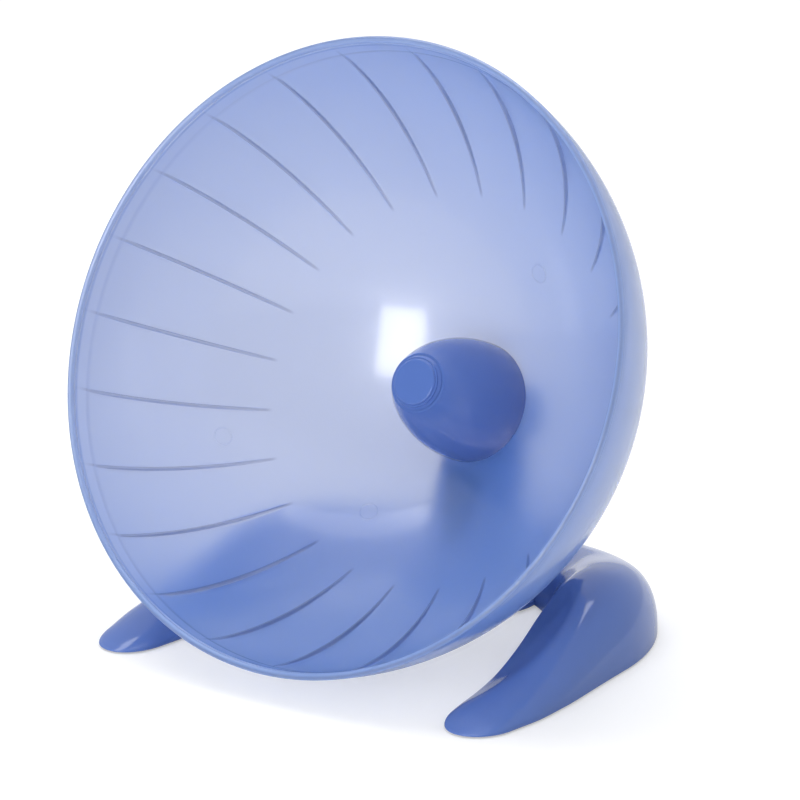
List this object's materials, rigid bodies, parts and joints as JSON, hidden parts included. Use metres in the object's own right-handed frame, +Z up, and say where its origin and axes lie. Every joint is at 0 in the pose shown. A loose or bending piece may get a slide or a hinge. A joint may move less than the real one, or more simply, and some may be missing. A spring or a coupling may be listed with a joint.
{
  "type": "rodent exercise wheel",
  "caption": "Deep leaning bowl with running rungs that spins on one axle, held by a post on a low horseshoe stand, for a small rodent to run in.",
  "frame": {"origin": "on the floor, under the middle of the whole object's box", "axes": "+Z up, the bowl opens towards -Y and leans back so that its axle rises 22.4 degrees towards -Y, +X is the object's right seen from the front"},
  "size_m": [0.25, 0.2052, 0.2423],
  "materials": {
    "clear_blue_plastic": "glossy translucent moulded plastic",
    "solid_blue_plastic": "glossy moulded plastic",
    "natural_plastic": "smooth slippery plastic",
    "steel": "bright zinc plated",
    "rubber": "matt"
  },
  "bodies": {
    "frame": {"stand": "solid_blue_plastic", "axle": "steel", "lock_washer": "steel", "axle_nut": "steel", "rear_plug": "solid_blue_plastic", "thrust_washer": "natural_plastic", "end_washer": "steel", "end_screw": "steel", "left_front_pad": "rubber", "right_front_pad": "rubber", "left_rear_pad": "rubber", "right_rear_pad": "rubber"},
    "wheel": {"wheel_bowl": "clear_blue_plastic", "hub_cone": "solid_blue_plastic", "hub_cap": "solid_blue_plastic", "hub_screws": "steel", "front_bush": "natural_plastic", "rear_bush": "natural_plastic"}
  },
  "joints": [
    {"name": "wheel_spin", "type": "hinge", "parent": "frame", "child": "wheel", "pos_m": [0, 0.05371, 0.08213], "axis": [0, -0.9245, 0.3811], "continuous": true}
  ]
}
